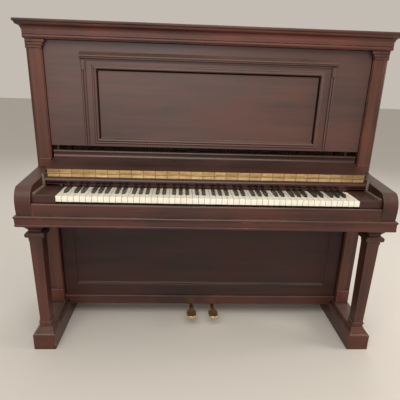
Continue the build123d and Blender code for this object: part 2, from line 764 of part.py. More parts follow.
with BuildPart() as lower_panel:
    block((-knee_half, knee_half), (knee_front_y, knee_front_y + 20), (knee_bottom, knee_top))
    block(
        (-knee_half + 56, knee_half - 56),
        (knee_front_y, knee_front_y + 7),
        (knee_bottom + 56, knee_top - 56),
        mode=Mode.SUBTRACT,
    )
    with BuildLine() as knee_path:
        Polyline(
            (-knee_half + 56, knee_front_y + 7, knee_bottom + 56),
            (knee_half - 56, knee_front_y + 7, knee_bottom + 56),
            (knee_half - 56, knee_front_y + 7, knee_top - 56),
            (-knee_half + 56, knee_front_y + 7, knee_top - 56),
            close=True,
        )
    with BuildSketch(Plane((0, knee_front_y + 7, knee_bottom + 56), x_dir=(0, -1, 0), z_dir=(-1, 0, 0))):
        with BuildLine():
            Line((0, 0), (9, 0))
            ThreePointArc((9, 0), (10, 5), (6, 8))
            ThreePointArc((6, 8), (3, 11), (0, 16))
            Line((0, 16), (0, 0))
        make_face()
    sweep(path=knee_path.line, transition=Transition.RIGHT)
save(lower_panel, "lower_panel")

with BuildPart() as panel_catch:
    block((-30, 30), depth(334, 352), (keybed_bottom - 3, keybed_bottom))
    block((-30, 30), depth(334, 336), (keybed_bottom - 40, keybed_bottom))
    block((-12, 12), depth(332.6, 334), (keybed_bottom - 38, keybed_bottom - 30))
save(panel_catch, "panel_catch")

# ---------------------------------------------------------------- action
action_half = 640.0

with BuildPart() as action_frame:
    for x in both_sides((action_half - 4, action_half + 4)):
        with BuildSketch(Plane.YZ.offset(x[0])) as bracket:
            with BuildLine():
                Polyline(
                    (keys_y + 386, 712),
                    (keys_y + 420, 712),
                    (keys_y + 470, 930),
                    (keys_y + 514, 930),
                    (keys_y + 514, 1012),
                    (keys_y + 474, 1012),
                    (keys_y + 440, 930),
                    close=True,
                )
            make_face()
        extrude(bracket.sketch, amount=x[1] - x[0])
    block((-action_half, action_half), depth(476, 494), (985, 1008))
    block((-action_half, action_half), depth(498, 512), (930, 950))
    for x in both_sides((action_half - 14, action_half + 14)):
        block(x, depth(378, 426), (keybed_top, 714))
save(action_frame, "action_frame")

with BuildPart(mode=Mode.PRIVATE) as wippen:
    block((-4.5, 4.5), depth(380, 470), (776, 788))
    block((-3, 3), depth(452, 460), (787, 1008))
    block((-3, 3), depth(384, 388), (787, 930))
with BuildPart() as wippens:
    with Locations(*[(lane_x(note), 0, 0) for note in range(note_count)]):
        add(wippen.part)
save(wippens, "wippens")

hammer_axis_y = keys_y + 456.0
hammer_axis_z = 1018.0

with BuildPart(mode=Mode.PRIVATE) as hammer:
    block((-4.5, 4.5), depth(444, 468), (1012, 1044))
    block((-2.75, 2.75), depth(452, 457.5), (1043, 1160))
    with BuildSketch(Plane.YZ.offset(-5)) as hammer_head:
        with BuildLine():
            Polyline((keys_y + 482, 1154), (keys_y + 440, 1160), (keys_y + 440, 1174), (keys_y + 482, 1180))
            Spline(
                (keys_y + 482, 1180),
                (keys_y + 496, 1178),
                (keys_y + 506, 1167),
                (keys_y + 496, 1156),
                (keys_y + 482, 1154),
            )
        make_face()
    extrude(hammer_head.sketch, amount=10)
with BuildPart() as hammers:
    with Locations(*[(lane_x(note), 0, 0) for note in range(note_count)]):
        add(hammer.part)
save(hammers, "hammers")

with BuildPart() as hammer_rail:
    block((-action_half + 12, action_half - 12), depth(430, 446), (1094, 1112))
    block((-action_half + 12, action_half - 12), depth(446, 450), (1096, 1110))
    for x in both_sides((action_half - 22, action_half - 12)):
        block(x, depth(436, 446), (1014, 1096))
save(hammer_rail, "hammer_rail")

damper_axis_y = keys_y + 505.0
damper_axis_z = 962.0
damper_count = 68
bass_overlap = 9  # notes past the bass that lie behind the bass strings

with BuildPart() as dampers:
    for note in range(damper_count):
        felt_end = 532.3 if note < bass_count + bass_overlap else 539.3
        x = lane_x(note)
        block((x - 1.5, x + 1.5), depth(504, 507), (960, 1092))
        block((x - 4.5, x + 4.5), depth(506.5, felt_end), (1078, 1122))
    block((-action_half + 12, action_half - 12), depth(502, 509), (955, 963))
save(dampers, "dampers")

# ---------------------------------------------------------------- pedals
pedal_axis_y = keys_y + 440.0
pedal_axis_z = 66.0
pedal_x = 55.0
link_y = keys_y + 360.0
lever_pivot_x = 345.0
rod_x = 668.0
rod_y = keys_y + 430.0
lever_z = (130.0, 148.0)

with BuildPart() as pedal_brackets:
    for x in (-pedal_x, pedal_x):
        block((x - 22, x - 13), (pedal_axis_y - 12, pedal_axis_y + 12), (54, 84))
        block((x + 13, x + 22), (pedal_axis_y - 12, pedal_axis_y + 12), (54, 84))
    for x in (-lever_pivot_x, lever_pivot_x):
        block((x - 12, x + 12), (rod_y - 22, rod_y - 13), (104, 152))
        block((x - 12, x + 12), (rod_y + 13, rod_y + 22), (104, 152))
save(pedal_brackets, "pedal_brackets")


def pedal(x):
    """One pedal: a flat brass lever with a rounded foot plate, and its link to the trap lever."""
    with BuildPart() as lever:
        with BuildSketch(Plane((x, keys_y, pedal_axis_z - 5))) as outline:
            with Locations((0, 240)):
                SlotOverall(78, 46, rotation=90)
            with Locations((0, 355)):
                Rectangle(22, 190)
        extrude(outline.sketch, amount=10)
        fillet(lever.edges().group_by(Axis.Z)[-1], 3)
    return lever


pedal_soft = pedal(-pedal_x)
save(pedal_soft, "pedal_soft")
pedal_sustain = pedal(pedal_x)
save(pedal_sustain, "pedal_sustain")


def trap_lever(side):
    """A wooden lever across the bottom board, from its pedal to the rod at the end of the keyboard."""
    with BuildPart() as lever:
        block(sorted((side * (pedal_x - 12), side * (rod_x + 12))), (rod_y - 11, rod_y + 11), lever_z)
    return lever


trap_lever_soft = trap_lever(-1)
save(trap_lever_soft, "trap_lever_soft")
trap_lever_sustain = trap_lever(1)
save(trap_lever_sustain, "trap_lever_sustain")


def pedal_rod(x):
    """A wooden rod from a trap lever up to the action."""
    with BuildPart() as rod:
        with BuildSketch(Plane((x, rod_y, lever_z[1] + 1))) as section:
            Rectangle(11, 11)
        extrude(section.sketch, amount=700)
        chamfer(rod.edges().filter_by(Axis.Z), 2)
    return rod


soft_rod = pedal_rod(-rod_x)
save(soft_rod, "soft_rod")
sustain_rod = pedal_rod(rod_x)
save(sustain_rod, "sustain_rod")
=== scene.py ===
import json
import math

import bmesh
import bpy
from mathutils import Matrix, Vector


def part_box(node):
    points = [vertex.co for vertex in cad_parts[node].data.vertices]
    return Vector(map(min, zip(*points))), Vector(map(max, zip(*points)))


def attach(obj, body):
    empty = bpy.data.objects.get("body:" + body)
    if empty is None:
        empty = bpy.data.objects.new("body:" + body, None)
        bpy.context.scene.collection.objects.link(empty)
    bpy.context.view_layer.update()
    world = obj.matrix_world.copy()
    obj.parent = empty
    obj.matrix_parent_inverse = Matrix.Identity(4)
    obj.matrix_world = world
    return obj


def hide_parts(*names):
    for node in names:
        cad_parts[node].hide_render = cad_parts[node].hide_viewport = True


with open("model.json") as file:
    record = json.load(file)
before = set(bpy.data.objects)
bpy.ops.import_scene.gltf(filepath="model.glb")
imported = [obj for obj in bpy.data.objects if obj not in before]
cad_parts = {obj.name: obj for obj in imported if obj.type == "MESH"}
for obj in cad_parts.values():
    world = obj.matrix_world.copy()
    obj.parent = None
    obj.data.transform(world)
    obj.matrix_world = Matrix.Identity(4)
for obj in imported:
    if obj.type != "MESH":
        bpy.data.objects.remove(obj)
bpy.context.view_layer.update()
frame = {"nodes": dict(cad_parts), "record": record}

MM = 0.001  # lengths are in metres
BODY_OF = {
    member: body_name
    for body_name, members in frame["record"]["behaviour"]["bodies"].items()
    for member in members
}

# places that the finishes depend on
WHITE_KEYS = [name for name in frame["nodes"] if name.startswith("keys_") and "sharp" not in name]
BLACK_KEYS = [name for name in frame["nodes"] if name.startswith("keys_") and "sharp" in name]
CAPSTAN_HEIGHT = 30.5 * MM
KEYS_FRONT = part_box("keys_c")[0].y
KEY_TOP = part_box("keys_d")[1].z - CAPSTAN_HEIGHT  # the capstans stand above the keys
IVORY_JOINT = KEYS_FRONT + 48.8 * MM  # where the ivory of a key's head meets that of its tail
VISIBLE_END = KEYS_FRONT + 150 * MM
STICK_TOP = KEY_TOP - 2.5 * MM  # a sharp's black cover starts here
HINGE_HALF = 0.68  # half the length of both hinges
KNUCKLE_COUNT = 27
KNUCKLE_PITCH = 2 * HINGE_HALF / KNUCKLE_COUNT
FALL_AXIS_Z = 0.795  # height of the fallboard hinge's pin
LID_AXIS_Z = 1.3872  # height of the lid hinge's pin
STRIP_X = 0.6905  # the light corner strips lie outside this
STRIP_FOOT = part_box("key_blocks")[1].z - 5 * MM
RECESS_REACH = 0.49  # half the width of the upper panel's sunk field, with a margin
LOOKS_UP = 0.2  # a face looks up if its normal's z is more than this
LOOKS_FORWARD = -0.5  # a face looks to the front if its normal's y is less than this
SLOPE_LEAST = 0.3  # how far a face of the sunk field's slopes is turned from the front
SLOPE_MOST = 0.95
HAMMER_FELT_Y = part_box("hammers")[1].y - 30 * MM  # felt from here to the strings
DAMPER_FELT_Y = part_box("dampers")[0].y + 17 * MM


# ---------------------------------------------------------------- camera
CAMERA_PLACE = Vector((-0.1222, -1.9561, 1.1862))
CAMERA_YAW = 0.0526
CAMERA_PITCH = -0.3564
CAMERA_ROLL = 0.0321
SENSOR = 36.0
FOCAL_LENGTH = 37.93
LENS_SHIFT = 0.0875


def make_camera():
    """The photograph's point of view: a little left of the middle, looking down at the keyboard."""
    ahead = Vector((math.sin(CAMERA_YAW), math.cos(CAMERA_YAW), 0))
    right = Vector((math.cos(CAMERA_YAW), -math.sin(CAMERA_YAW), 0))
    up = Vector((0, 0, 1))
    forward = ahead * math.cos(CAMERA_PITCH) + up * math.sin(CAMERA_PITCH)
    above = up * math.cos(CAMERA_PITCH) - ahead * math.sin(CAMERA_PITCH)
    camera_x = right * math.cos(CAMERA_ROLL) + above * math.sin(CAMERA_ROLL)
    camera_y = above * math.cos(CAMERA_ROLL) - right * math.sin(CAMERA_ROLL)
    turn = Matrix((camera_x, camera_y, -forward)).transposed().to_4x4()
    data = bpy.data.cameras.new("camera")
    data.sensor_width = SENSOR
    data.lens = FOCAL_LENGTH
    data.shift_y = LENS_SHIFT
    camera = bpy.data.objects.new("camera", data)
    camera.matrix_world = Matrix.Translation(CAMERA_PLACE) @ turn
    bpy.context.scene.collection.objects.link(camera)
    bpy.context.scene.camera = camera


# ---------------------------------------------------------------- light and floor
def make_lamp(name, place, target, width, height, power, colour):
    """One soft rectangular lamp."""
    data = bpy.data.lights.new(name, "AREA")
    data.shape = "RECTANGLE"
    data.size = width
    data.size_y = height
    data.energy = power
    data.color = colour
    lamp = bpy.data.objects.new(name, data)
    lamp.location = place
    lamp.rotation_euler = (Vector(target) - Vector(place)).to_track_quat("-Z", "Y").to_euler()
    bpy.context.scene.collection.objects.link(lamp)


def make_stage():
    """A plain pale floor, a pale surround and soft lamps."""
    make_lamp("ceiling_lamp", (-0.3, -2.7, 3.2), (0, -0.2, 0.7), 3.4, 1.8, 84, (1.0, 0.94, 0.86))
    make_lamp("window_lamp", (-0.7, -4.2, 1.5), (0, 0, 1.1), 2.8, 1.6, 26, (1.0, 0.97, 0.95))
    make_lamp("side_lamp", (3.6, -0.6, 2.0), (0, 0, 0.9), 1.6, 1.6, 60, (1.0, 0.91, 0.80))
    make_lamp("rear_lamp", (0.4, 3.2, 2.6), (0, 0, 0.8), 2.8, 1.8, 60, (1.0, 0.98, 0.95))

    world = bpy.data.worlds.new("surround")
    world.use_nodes = True
    world.node_tree.nodes["Background"].inputs["Color"].default_value = (0.92, 0.84, 0.75, 1)
    world.node_tree.nodes["Background"].inputs["Strength"].default_value = 0.60
    bpy.context.scene.world = world

    bpy.ops.mesh.primitive_plane_add(size=40, location=(0, 0, 0))
    floor = bpy.context.active_object
    floor.name = "floor"
    material, _, shader = new_material("floor")
    shader.inputs["Base Color"].default_value = (0.62, 0.6, 0.57, 1)
    shader.inputs["Roughness"].default_value = 0.75
    floor.data.materials.append(material)
    bpy.context.scene.view_settings.view_transform = "Standard"


# ---------------------------------------------------------------- node helpers
def new_material(name):
    """A new node material, its node tree and its principled shader."""
    material = bpy.data.materials.new("finish_" + name)
    material.use_nodes = True
    return material, material.node_tree, material.node_tree.nodes["Principled BSDF"]


def node(tree, kind, settings=None, **inputs):
    """Adds a node. An input is a value, or the output that feeds it."""
    made = tree.nodes.new(kind)
    for name, value in (settings or {}).items():
        setattr(made, name, value)
    for name, value in inputs.items():
        plug(tree, made.inputs[name.replace("_", " ")], value)
    return made


def plug(tree, socket, value):
    """Feeds a socket from an output, or sets its value."""
    if isinstance(value, bpy.types.NodeSocket):
        tree.links.new(value, socket)
    else:
        socket.default_value = value


def calculate(tree, operation, first, second=0.0, clamp=False):
    """The result of one Math node."""
    made = tree.nodes.new("ShaderNodeMath")
    made.operation = operation
    made.use_clamp = clamp
    plug(tree, made.inputs[0], first)
    plug(tree, made.inputs[1], second)
    return made.outputs[0]


def mix(tree, share, first, second, blend="MIX"):
    """The result of one colour mix."""
    made = tree.nodes.new("ShaderNodeMix")
    made.data_type = "RGBA"
    made.blend_type = blend
    plug(tree, made.inputs[0], share)
    plug(tree, made.inputs[6], first)
    plug(tree, made.inputs[7], second)
    return made.outputs[2]


def ramp(tree, value, low, high, out_low=0.0, out_high=1.0):
    """Maps low..high to out_low..out_high, clamped."""
    made = node(tree, "ShaderNodeMapRange", {"clamp": True}, Value=value)
    made.inputs["From Min"].default_value = low
    made.inputs["From Max"].default_value = high
    made.inputs["To Min"].default_value = out_low
    made.inputs["To Max"].default_value = out_high
    return made.outputs[0]


def stretched_noise(tree, scale, detail=3.0, roughness=0.55, distortion=0.0, shift=0.0):
    """Noise over the piece's own coordinates, with its own scale along each axis, per metre."""
    place = node(tree, "ShaderNodeTexCoord").outputs["Object"]
    mapped = node(tree, "ShaderNodeMapping", Vector=place, Scale=scale, Location=(shift, shift, shift))
    noise = node(
        tree,
        "ShaderNodeTexNoise",
        Vector=mapped.outputs[0],
        Scale=1.0,
        Detail=detail,
        Roughness=roughness,
        Distortion=distortion,
    )
    return noise.outputs["Fac"]


def edge_mask(tree, radius):
    """1 on edges within the radius, 0 on flat faces."""
    soft = node(tree, "ShaderNodeBevel", {"samples": 4}, Radius=radius)
    flat = node(tree, "ShaderNodeNewGeometry").outputs["Normal"]
    dot = node(tree, "ShaderNodeVectorMath", {"operation": "DOT_PRODUCT"})
    plug(tree, dot.inputs[0], soft.outputs[0])
    plug(tree, dot.inputs[1], flat)
    return ramp(tree, dot.outputs["Value"], 0.99, 0.86)


def painted_shade_mask(tree, reach):
    """1 deep in corners and grooves within the reach, 0 on open faces; it sets where shade is painted."""
    open_share = node(tree, "ShaderNodeAmbientOcclusion", {"samples": 6}, Distance=reach)
    return ramp(tree, open_share.outputs["AO"], 0.62, 0.30)


# ---------------------------------------------------------------- materials
def shaded(colour, share):
    """A colour made darker, as a node's four numbers."""
    return (colour[0] * share, colour[1] * share, colour[2] * share, 1)


def along(axis, lengthwise, across):
    """Noise scales for grain that runs along an axis."""
    scale = [across, across, across]
    scale["XYZ".index(axis)] = lengthwise
    return tuple(scale)


def wood(
    name,
    axis,
    dark,
    light,
    worn,
    roughness=0.38,
    wear=0.5,
    dust_and_sheen=0.15,
    pores=1.0,
    coat=0.2,
    shine=0.38,
    edge_reach=3.5 * MM,
    chips=(0.70, 0.98),
):
    """Varnished wood: figure, grain, pores, patchy varnish, worn edges, painted shade in grooves and corners,
    and dust with a painted sheen on top.
    """
    material, tree, shader = new_material(name)
    figure = stretched_noise(tree, along(axis, 1.3, 9), 2.0, 0.5, 0.6)
    streak = stretched_noise(tree, along(axis, 1.6, 75), 3.0, 0.6, 0.3, 23.0)
    grain = stretched_noise(tree, along(axis, 5, 190), 4.0, 0.65, 0.2, 3.0)
    pore = stretched_noise(tree, along(axis, 38, 1300), 2.0, 0.5, 0.0, 7.0)
    patches = stretched_noise(tree, (4.5, 4.5, 4.5), 4.0, 0.6, 0.0, 11.0)
    blotch = stretched_noise(tree, (55, 55, 55), 5.0, 0.7, 0.0, 17.0)

    tone = calculate(tree, "ADD", figure, calculate(tree, "MULTIPLY", grain, 0.4))
    tone = ramp(tree, calculate(tree, "ADD", tone, calculate(tree, "MULTIPLY", streak, 0.6)), 0.78, 1.22)
    colour = mix(tree, tone, (*dark, 1), (*light, 1))
    pore_line = ramp(tree, pore, 0.60, 0.70, 0.0, 0.45 * pores)
    colour = mix(tree, pore_line, colour, shaded(dark, 0.35))
    redder = ramp(tree, patches, 0.42, 0.70, 0.0, 0.5)
    colour = mix(tree, redder, colour, (light[0] * 1.2, light[1] * 0.8, light[2] * 0.75, 1))
    # painted shade: corners and grooves are darkened towards near black
    crevice_shade = calculate(tree, "MULTIPLY", painted_shade_mask(tree, 12 * MM), 0.8)
    colour = mix(tree, crevice_shade, colour, (0.009, 0.004, 0.003, 1))

    broken = ramp(tree, calculate(tree, "ADD", blotch, calculate(tree, "MULTIPLY", patches, 0.6)), *chips)
    edge = calculate(tree, "MULTIPLY", edge_mask(tree, edge_reach), broken, True)
    edge = calculate(tree, "MULTIPLY", edge, wear, True)
    colour = mix(tree, edge, colour, (*worn, 1))

    # dust and painted sheen: faces that look up turn a lighter grey, in patches
    upward = node(tree, "ShaderNodeSeparateXYZ", Vector=node(tree, "ShaderNodeNewGeometry").outputs["Normal"])
    top = ramp(tree, upward.outputs["Z"], 0.3, 0.95)
    dust_and_sheen_share = calculate(tree, "MULTIPLY", top, ramp(tree, patches, 0.3, 0.7, 0.5 * dust_and_sheen, 1.5 * dust_and_sheen), True)
    colour = mix(tree, dust_and_sheen_share, colour, (0.42, 0.38, 0.34, 1))
    tree.links.new(colour, shader.inputs["Base Color"])

    rough = ramp(tree, patches, 0.3, 0.75, roughness - 0.07, roughness + 0.10)
    fine_lines = calculate(tree, "ADD", grain, streak)
    rough = calculate(tree, "ADD", rough, calculate(tree, "MULTIPLY", fine_lines, 0.09))
    rough = calculate(tree, "ADD", rough, calculate(tree, "MULTIPLY", edge, 0.3), True)
    tree.links.new(rough, shader.inputs["Roughness"])

    relief = calculate(tree, "SUBTRACT", calculate(tree, "MULTIPLY", grain, 0.5), pore_line)
    relief = calculate(tree, "ADD", relief, calculate(tree, "MULTIPLY", blotch, 0.25))
    bump = node(tree, "ShaderNodeBump", Height=relief, Strength=0.16, Distance=0.6 * MM)
    tree.links.new(bump.outputs[0], shader.inputs["Normal"])
    shader.inputs["Coat Weight"].default_value = coat
    shader.inputs["Coat Roughness"].default_value = roughness * 0.7
    shader.inputs["Specular IOR Level"].default_value = shine
    return material


def plain_timber(name, axis, dark, light, roughness=0.62):
    """Unvarnished timber with its growth rings and saw marks."""
    material, tree, shader = new_material(name)
    rings = stretched_noise(tree, along(axis, 1.6, 34), 3.0, 0.55, 1.2)
    fibre = stretched_noise(tree, along(axis, 12, 420), 4.0, 0.6, 0.0, 5.0)
    stain = stretched_noise(tree, (3.2, 3.2, 3.2), 4.0, 0.6, 0.0, 9.0)
    tone = ramp(tree, calculate(tree, "ADD", rings, calculate(tree, "MULTIPLY", fibre, 0.5)), 0.5, 1.0)
    colour = mix(tree, tone, (*dark, 1), (*light, 1))
    colour = mix(tree, ramp(tree, stain, 0.45, 0.8, 0.0, 0.5), colour, shaded(dark, 0.5))
    tree.links.new(colour, shader.inputs["Base Color"])
    rough = ramp(tree, fibre, 0.3, 0.7, roughness - 0.06, roughness + 0.12)
    tree.links.new(rough, shader.inputs["Roughness"])
    bump = node(tree, "ShaderNodeBump", Height=fibre, Strength=0.25, Distance=0.8 * MM)
    tree.links.new(bump.outputs[0], shader.inputs["Normal"])
    return material


def hinge_grime_and_shade(tree, axis_z):
    """1 on the seams between a hinge's knuckles, and along the grooves beside them: where grime and painted
    shade go.
    """
    place = node(tree, "ShaderNodeSeparateXYZ", Vector=node(tree, "ShaderNodeTexCoord").outputs["Object"])
    turns = calculate(tree, "DIVIDE", calculate(tree, "ADD", place.outputs["X"], HINGE_HALF), KNUCKLE_PITCH)
    from_seam = calculate(tree, "PINGPONG", turns, 0.5)
    seam = ramp(tree, from_seam, 0.018, 0.042, 1.0, 0.0)
    from_axis = calculate(tree, "ABSOLUTE", calculate(tree, "SUBTRACT", place.outputs["Z"], axis_z))
    return calculate(tree, "MAXIMUM", seam, ramp(tree, from_axis, 3.0 * MM, 4.8 * MM, 0.85, 0.0))


def metal(name, bright, dull, roughness, tarnish, scratch_axis="X", relief=0.12, hinge_axis_z=None):
    """Metal with tarnish in patches, fine scratches along an axis, and brighter worn edges."""
    material, tree, shader = new_material(name)
    patch = stretched_noise(tree, (26, 60, 90), 5.0, 0.7, 0.3)
    fine = stretched_noise(tree, along(scratch_axis, 60, 2600), 2.0, 0.6, 0.0, 4.0)
    share = calculate(tree, "ADD", patch, calculate(tree, "MULTIPLY", fine, 0.25))
    share = ramp(tree, share, 0.48, 0.78, 0.0, tarnish)
    colour = mix(tree, share, (*bright, 1), (*dull, 1))
    edge = calculate(tree, "MULTIPLY", edge_mask(tree, 0.8 * MM), 0.5)
    rubbed = (min(1, bright[0] * 1.3), min(1, bright[1] * 1.3), min(1, bright[2] * 1.25), 1)
    colour = mix(tree, edge, colour, rubbed)
    if hinge_axis_z is not None:
        place = node(tree, "ShaderNodeSeparateXYZ", Vector=node(tree, "ShaderNodeTexCoord").outputs["Object"])
        knuckle = calculate(tree, "ADD", place.outputs["X"], HINGE_HALF)
        knuckle = calculate(tree, "FLOOR", calculate(tree, "DIVIDE", knuckle, KNUCKLE_PITCH))
        chance = node(tree, "ShaderNodeTexWhiteNoise", {"noise_dimensions": "1D"}, W=knuckle)
        colour = mix(tree, ramp(tree, chance.outputs["Value"], 0.2, 1.0, 0.0, 0.4), colour, (*dull, 1))
        # grime and painted shade: the knuckle seams and the barrel along the pin are darkened
        grime_and_shade = calculate(tree, "MULTIPLY", hinge_grime_and_shade(tree, hinge_axis_z), 0.75)
        colour = mix(tree, grime_and_shade, colour, (dull[0] * 0.5, dull[1] * 0.4, dull[2] * 0.3, 1))
    tree.links.new(colour, shader.inputs["Base Color"])
    shader.inputs["Metallic"].default_value = 1.0
    scratched = ramp(tree, fine, 0.3, 0.7, roughness, roughness + 0.12)
    rough = calculate(tree, "ADD", scratched, calculate(tree, "MULTIPLY", share, 0.25))
    tree.links.new(rough, shader.inputs["Roughness"])
    bump = node(tree, "ShaderNodeBump", Height=fine, Strength=relief, Distance=0.3 * MM)
    tree.links.new(bump.outputs[0], shader.inputs["Normal"])
    return material


def felt(name, colour, worn, fuzz=0.6):
    """Pressed wool felt with loose fibres."""
    material, tree, shader = new_material(name)
    fibre = stretched_noise(tree, (900, 900, 900), 4.0, 0.75)
    patch = stretched_noise(tree, (30, 30, 30), 4.0, 0.6, 0.0, 6.0)
    tone = mix(tree, ramp(tree, patch, 0.4, 0.75), (*colour, 1), (*worn, 1))
    tone = mix(tree, ramp(tree, fibre, 0.35, 0.7, 0.0, 0.35), tone, shaded(colour, 0.4))
    tree.links.new(tone, shader.inputs["Base Color"])
    shader.inputs["Roughness"].default_value = 0.95
    shader.inputs["Sheen Weight"].default_value = fuzz
    shader.inputs["Sheen Roughness"].default_value = 0.5
    bump = node(tree, "ShaderNodeBump", Height=fibre, Strength=0.5, Distance=1.0 * MM)
    tree.links.new(bump.outputs[0], shader.inputs["Normal"])
    return material


def ivory_material():
    """Ivory key covers: fine lengthwise lines, yellowing, grimy edges darkened further as painted shade, and
    the joint of head and tail.
    """
    material, tree, shader = new_material("ivory")
    lines = stretched_noise(tree, (900, 14, 900), 3.0, 0.6, 0.4)
    key_tint = stretched_noise(tree, (47, 1.5, 1.5), 1.0, 0.5, 0.0, 2.0)
    patch = stretched_noise(tree, (30, 18, 30), 4.0, 0.65, 0.0, 8.0)
    colour = mix(tree, ramp(tree, key_tint, 0.35, 0.65), (0.88, 0.875, 0.775, 1), (0.83, 0.81, 0.70, 1))
    colour = mix(tree, ramp(tree, patch, 0.5, 0.8, 0.0, 0.3), colour, (0.66, 0.60, 0.47, 1))
    colour = mix(tree, ramp(tree, lines, 0.45, 0.8, 0.0, 0.18), colour, (0.55, 0.47, 0.33, 1))
    # grime and painted shade: the key edges are darkened, which widens the dark gaps between the keys
    grime_and_shade = calculate(tree, "MULTIPLY", edge_mask(tree, 1.6 * MM), 0.6)
    colour = mix(tree, grime_and_shade, colour, (0.20, 0.15, 0.10, 1))
    place = node(tree, "ShaderNodeSeparateXYZ", Vector=node(tree, "ShaderNodeTexCoord").outputs["Object"])
    from_joint = calculate(tree, "ABSOLUTE", calculate(tree, "SUBTRACT", place.outputs["Y"], IVORY_JOINT))
    joint = ramp(tree, from_joint, 0.18 * MM, 0.4 * MM, 0.55, 0.0)
    colour = mix(tree, joint, colour, (0.25, 0.2, 0.14, 1))
    tree.links.new(colour, shader.inputs["Base Color"])
    tree.links.new(ramp(tree, patch, 0.3, 0.8, 0.24, 0.42), shader.inputs["Roughness"])
    shader.inputs["Coat Weight"].default_value = 0.15
    bump = node(tree, "ShaderNodeBump", Height=lines, Strength=0.06, Distance=0.4 * MM)
    tree.links.new(bump.outputs[0], shader.inputs["Normal"])
    return material


def ebony_material():
    """Black stained wood with faint grain, polished on top by fingers."""
    material, tree, shader = new_material("ebony")
    grain = stretched_noise(tree, (700, 22, 700), 4.0, 0.6, 0.2)
    patch = stretched_noise(tree, (40, 24, 40), 4.0, 0.6, 0.0, 5.0)
    colour = mix(tree, ramp(tree, grain, 0.4, 0.75), (0.008, 0.007, 0.006, 1), (0.026, 0.02, 0.016, 1))
    worn = calculate(tree, "MULTIPLY", edge_mask(tree, 1.6 * MM), ramp(tree, patch, 0.4, 0.7, 0.0, 0.5))
    colour = mix(tree, worn, colour, (0.075, 0.055, 0.042, 1))
    tree.links.new(colour, shader.inputs["Base Color"])
    tree.links.new(ramp(tree, patch, 0.3, 0.75, 0.22, 0.45), shader.inputs["Roughness"])
    bump = node(tree, "ShaderNodeBump", Height=grain, Strength=0.12, Distance=0.4 * MM)
    tree.links.new(bump.outputs[0], shader.inputs["Normal"])
    return material


CASE_DARK = (0.020, 0.0060, 0.0037)
CASE_LIGHT = (0.082, 0.0245, 0.0140)
BARE_WOOD = (0.30, 0.17, 0.09)
CHIPPED_WOOD = (0.50, 0.36, 0.26)


def make_woods():
    """The varnished woods, by name. Grain runs along the axis that each one names."""
    made = {}
    for axis in "XYZ":
        made["case_" + axis] = wood("mahogany_" + axis, axis, CASE_DARK, CASE_LIGHT, BARE_WOOD, dust_and_sheen=0.12)
    made["cornice"] = wood(
        "mahogany_cornice", "X", (0.032, 0.0094, 0.0064), (0.118, 0.0335, 0.0230), BARE_WOOD, dust_and_sheen=0.12
    )
    # painted light: a lighter copy of the case wood for the pilasters, standing in for the light falling on
    # them
    made["pilaster"] = wood(
        "mahogany_pilaster_lit", "Z", (0.027, 0.0090, 0.0056), (0.108, 0.0345, 0.0205), BARE_WOOD, dust_and_sheen=0.12
    )
    made["panel"] = wood(
        "mahogany_panel",
        "X",
        (0.035, 0.0124, 0.0088),
        (0.084, 0.0282, 0.0192),
        BARE_WOOD,
        roughness=0.46,
        wear=0.3,
        dust_and_sheen=0.1,
        coat=0.6,
        shine=0.5,
    )
    # painted shade: a near-black copy of the panel's wood for the sunk field's slopes that face sideways and
    # down
    made["groove"] = wood(
        "mahogany_groove",
        "X",
        (0.004, 0.0016, 0.0012),
        (0.010, 0.0034, 0.0024),
        CASE_DARK,
        roughness=0.6,
        wear=0.3,
        dust_and_sheen=0.0,
        coat=0.0,
        shine=0.15,
    )
    # painted shade: a darker copy of the panel's wood, standing in for the shade under the keybed
    made["lower"] = wood(
        "mahogany_lower_shaded",
        "X",
        (0.013, 0.0040, 0.0027),
        (0.040, 0.0120, 0.0080),
        BARE_WOOD,
        roughness=0.45,
        wear=0.3,
        dust_and_sheen=0.1,
        coat=0.1,
    )
    # partly painted shade: the board's darker base colour also stands in for the dark reflections it shows
    made["polished"] = wood(
        "polished_board",
        "X",
        (0.013, 0.0034, 0.0022),
        (0.046, 0.0115, 0.0072),
        BARE_WOOD,
        roughness=0.26,
        dust_and_sheen=0.04,
        pores=0.5,
        coat=0.35,
    )
    made["keybed"] = wood(
        "mahogany_keybed",
        "X",
        (0.020, 0.0056, 0.0036),
        (0.074, 0.0205, 0.0125),
        BARE_WOOD,
        roughness=0.36,
        wear=1.0,
        edge_reach=5 * MM,
    )
    made["moulding"] = wood(
        "mahogany_moulding",
        "X",
        (0.020, 0.0056, 0.0036),
        (0.082, 0.0220, 0.0135),
        CHIPPED_WOOD,
        roughness=0.36,
        wear=1.0,
        dust_and_sheen=0.12,
        edge_reach=5 * MM,
        chips=(0.92, 1.0),
    )
    made["block"] = wood(
        "mahogany_block",
        "X",
        (0.014, 0.0040, 0.0026),
        (0.050, 0.0135, 0.0085),
        BARE_WOOD,
        roughness=0.34,
        dust_and_sheen=0.02,
    )
    made["arm"] = wood(
        "mahogany_arm", "Y", (0.015, 0.0045, 0.0028), (0.060, 0.0180, 0.0105), BARE_WOOD, dust_and_sheen=0.06
    )
    made["toe"] = wood(
        "mahogany_toe",
        "Y",
        CASE_DARK,
        CASE_LIGHT,
        CHIPPED_WOOD,
        wear=1.0,
        dust_and_sheen=0.12,
        edge_reach=7 * MM,
        chips=(0.90, 1.0),
    )
    return made


